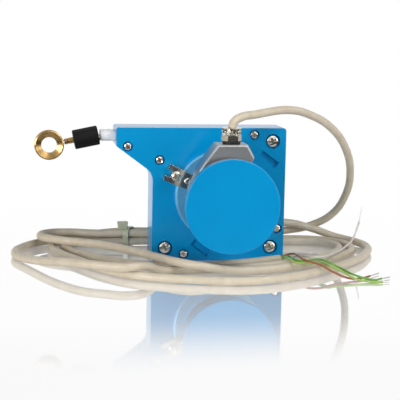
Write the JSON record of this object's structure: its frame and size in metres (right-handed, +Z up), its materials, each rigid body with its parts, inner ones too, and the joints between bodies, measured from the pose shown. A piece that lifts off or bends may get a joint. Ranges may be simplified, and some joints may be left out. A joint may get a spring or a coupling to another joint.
{
  "type": "draw wire encoder",
  "caption": "Draw wire encoder: a spring-wound measuring drum in a flat housing, an encoder clamped on its face, a wire with stopper and ring, and a signal cable.",
  "frame": {"origin": "on the base, below the drum's axis and in the plane in which the measuring wire leaves", "axes": "+X opposite to the way the wire is drawn out, +Y from the encoder to the mounting back, +Z up"},
  "size_m": [0.239, 0.144, 0.0996],
  "materials": {
    "housing_blue": "satin painted",
    "cap_blue": "satin painted",
    "nickel": "polished nickel",
    "steel": "machined",
    "bearing_steel": "polished",
    "turned_aluminium": "turned and polished",
    "cast_aluminium": "fine blasted",
    "drum_aluminium": "turned",
    "spring_steel": "blued",
    "black_steel": "black oxide",
    "brass": "turned",
    "insert_brass": "turned",
    "black_rubber": "matte",
    "seal_rubber": "matte",
    "ptfe": "translucent white",
    "black_plastic": "moulded",
    "board_green": "solder mask",
    "disc_glass": "clear",
    "cable_grey": "PVC jacket",
    "tie_nylon": "natural nylon",
    "core_brown": "PVC",
    "core_green": "PVC",
    "core_yellow": "PVC",
    "core_white": "PVC",
    "tinned_copper": "tinned",
    "wire_rope": "stranded"
  },
  "bodies": {
    "housing": {"housing_tub": "housing_blue", "front_cover": "housing_blue", "cover_gasket": "seal_rubber", "cover_screws": "nickel", "corner_screws": "nickel", "rear_inserts": "insert_brass", "servo_clamp": "nickel", "clamp_screw": "nickel", "clamp_pin": "nickel", "wire_nozzle": "ptfe", "spiral_spring": "spring_steel", "bearing_outer_rings": "bearing_steel", "bearing_balls": "bearing_steel", "encoder_flange": "turned_aluminium", "encoder_body": "cast_aluminium", "encoder_cap": "cap_blue", "cap_seal": "seal_rubber", "body_screws": "nickel", "read_head": "black_plastic", "circuit_board": "board_green", "board_pillars": "steel", "board_screws": "nickel", "gland_body": "nickel", "gland_seal": "seal_rubber", "gland_nut": "nickel", "signal_cable": "cable_grey", "cable_tie": "tie_nylon", "core_brown": "core_brown", "core_green": "core_green", "core_yellow": "core_yellow", "core_white": "core_white", "core_tips": "tinned_copper"},
    "rotor": {"wire_drum": "drum_aluminium", "wound_wire": "wire_rope", "drum_set_screw": "black_steel", "drum_shaft": "steel", "shaft_spacer": "steel", "shaft_clip": "black_steel", "bearing_inner_rings": "bearing_steel", "disc_hub": "brass", "code_disc": "disc_glass"},
    "wire_end": {"draw_wire": "wire_rope", "rubber_stopper": "black_rubber", "crimp_sleeve": "brass", "wire_loop": "wire_rope", "eyelet_ring": "brass"}
  },
  "joints": [
    {"name": "drum_spin", "type": "hinge", "parent": "housing", "child": "rotor", "pos_m": [0, 0, 0.0425], "axis": [0, -1, 0], "range_deg": [0, 3130], "stiffness_Nm_per_rad": 0.0015, "springref_deg": -5156.62, "deforming": ["spiral_spring"]},
    {"name": "wire_pull", "type": "slide", "parent": "housing", "child": "wire_end", "axis": [-1, 0, 0], "range_m": [0, 2], "deforming": ["draw_wire"]}
  ],
  "couplings": [
    {"joint": "wire_pull", "follows": "drum_spin", "m_per_rad": 0.036606}
  ]
}
